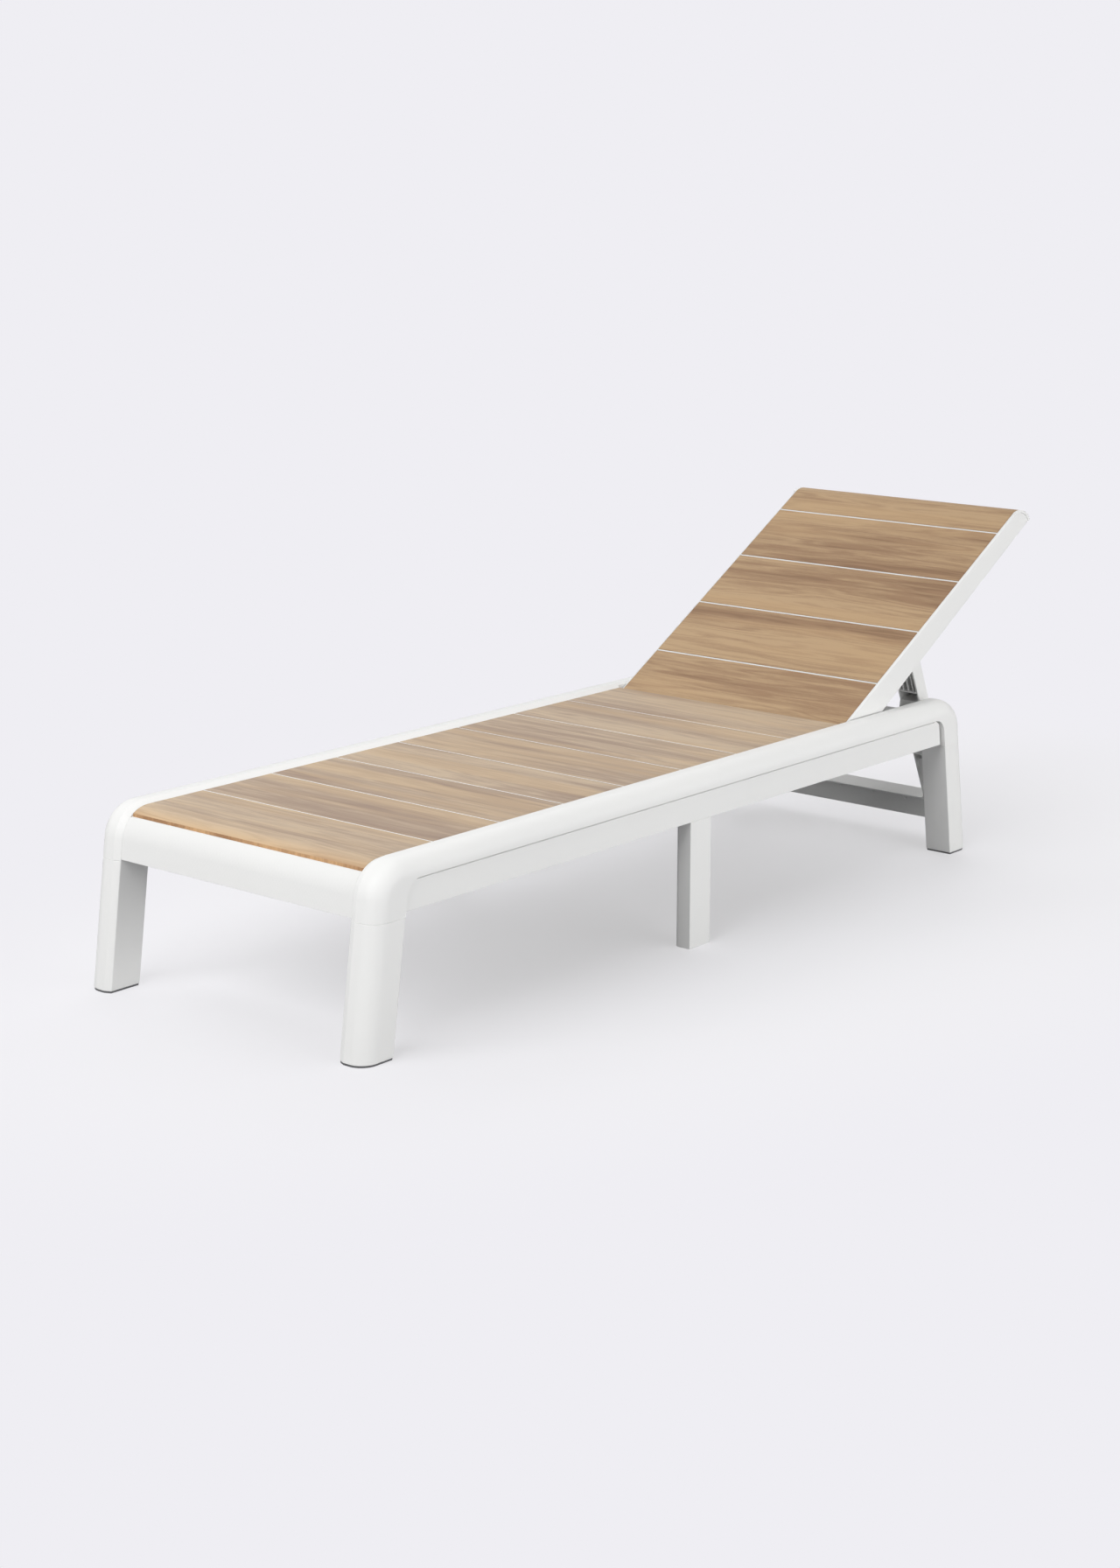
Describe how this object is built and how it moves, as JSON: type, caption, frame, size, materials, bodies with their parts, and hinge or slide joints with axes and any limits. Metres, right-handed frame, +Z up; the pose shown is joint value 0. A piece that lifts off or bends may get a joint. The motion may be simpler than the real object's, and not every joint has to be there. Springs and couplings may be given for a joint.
{
  "type": "reclining sun lounger",
  "caption": "Low reclining sun lounger: rounded white moulded frame with splayed legs, wood-look plank deck, hinged plank backrest held up by a folding stepped prop",
  "frame": {"origin": "on the floor under the centre of the bounding box of the lounger as it stands with the backrest raised 30 degrees", "axes": "+X across the lounger to the side on the right when looking at it from the foot end, +Y towards the head end, +Z up"},
  "size_m": [0.642, 1.9973, 0.6445],
  "materials": {
    "white_resin": "white moulded resin, satin, very fine moulding texture",
    "deck_wood": "pale tan oiled wood planks, grain across the lounger, satin",
    "back_wood": "warm tan oiled wood planks, grain across the lounger, satin",
    "dark_rubber": "dark grey hard rubber glides, matte",
    "zinc_steel": "zinc plated steel axles and screws, dull"
  },
  "bodies": {
    "frame": {"side_frame_left": "white_resin", "side_frame_right": "white_resin", "apron_left": "white_resin", "apron_right": "white_resin", "leg_foot_left": "white_resin", "leg_foot_right": "white_resin", "leg_head_left": "white_resin", "leg_head_right": "white_resin", "leg_mid_left": "white_resin", "leg_mid_right": "white_resin", "foot_beam": "white_resin", "mid_beam": "white_resin", "hinge_beam": "white_resin", "prop_beam": "white_resin", "step_seat": "white_resin", "deck_panel": "white_resin", "deck_plank_1": "deck_wood", "deck_plank_2": "deck_wood", "deck_plank_3": "deck_wood", "deck_plank_4": "deck_wood", "deck_plank_5": "deck_wood", "deck_plank_6": "deck_wood", "deck_plank_7": "deck_wood", "deck_plank_8": "deck_wood", "hinge_bracket_left": "white_resin", "hinge_bracket_right": "white_resin", "foot_glides": "dark_rubber", "seat_screws": "zinc_steel", "leg_bolts": "zinc_steel", "beam_screws": "zinc_steel", "bracket_screws": "zinc_steel", "deck_screws": "zinc_steel"},
    "hinge_axle": {"hinge_axle": "zinc_steel"},
    "backrest": {"back_stile_left": "white_resin", "back_stile_right": "white_resin", "back_panel": "white_resin", "back_lower_rail": "white_resin", "head_cap": "white_resin", "back_plank_1": "back_wood", "back_plank_2": "back_wood", "back_plank_3": "back_wood", "back_plank_4": "back_wood", "back_plank_5": "back_wood", "prop_axle": "zinc_steel", "back_screws": "zinc_steel"},
    "prop": {"prop_arm_left": "white_resin", "prop_arm_right": "white_resin", "prop_crossbar": "white_resin"}
  },
  "joints": [
    {"name": "backrest_lower", "type": "hinge", "parent": "frame", "child": "hinge_axle", "pos_m": [0, 0.37695, 0.265], "axis": [1, 0, 0], "range_deg": [-30, 0]},
    {"name": "backrest_raise", "type": "hinge", "parent": "hinge_axle", "child": "backrest", "pos_m": [0, 0.37695, 0.265], "axis": [1, 0, 0], "range_deg": [0, 20]},
    {"name": "prop_fold", "type": "hinge", "parent": "backrest", "child": "prop", "pos_m": [0, 0.60972, 0.41383], "axis": [1, 0, 0], "range_deg": [0, 96]}
  ],
  "couplings": [
    {"joint": "prop_fold", "follows": "backrest_lower", "ratio": -3.2}
  ]
}
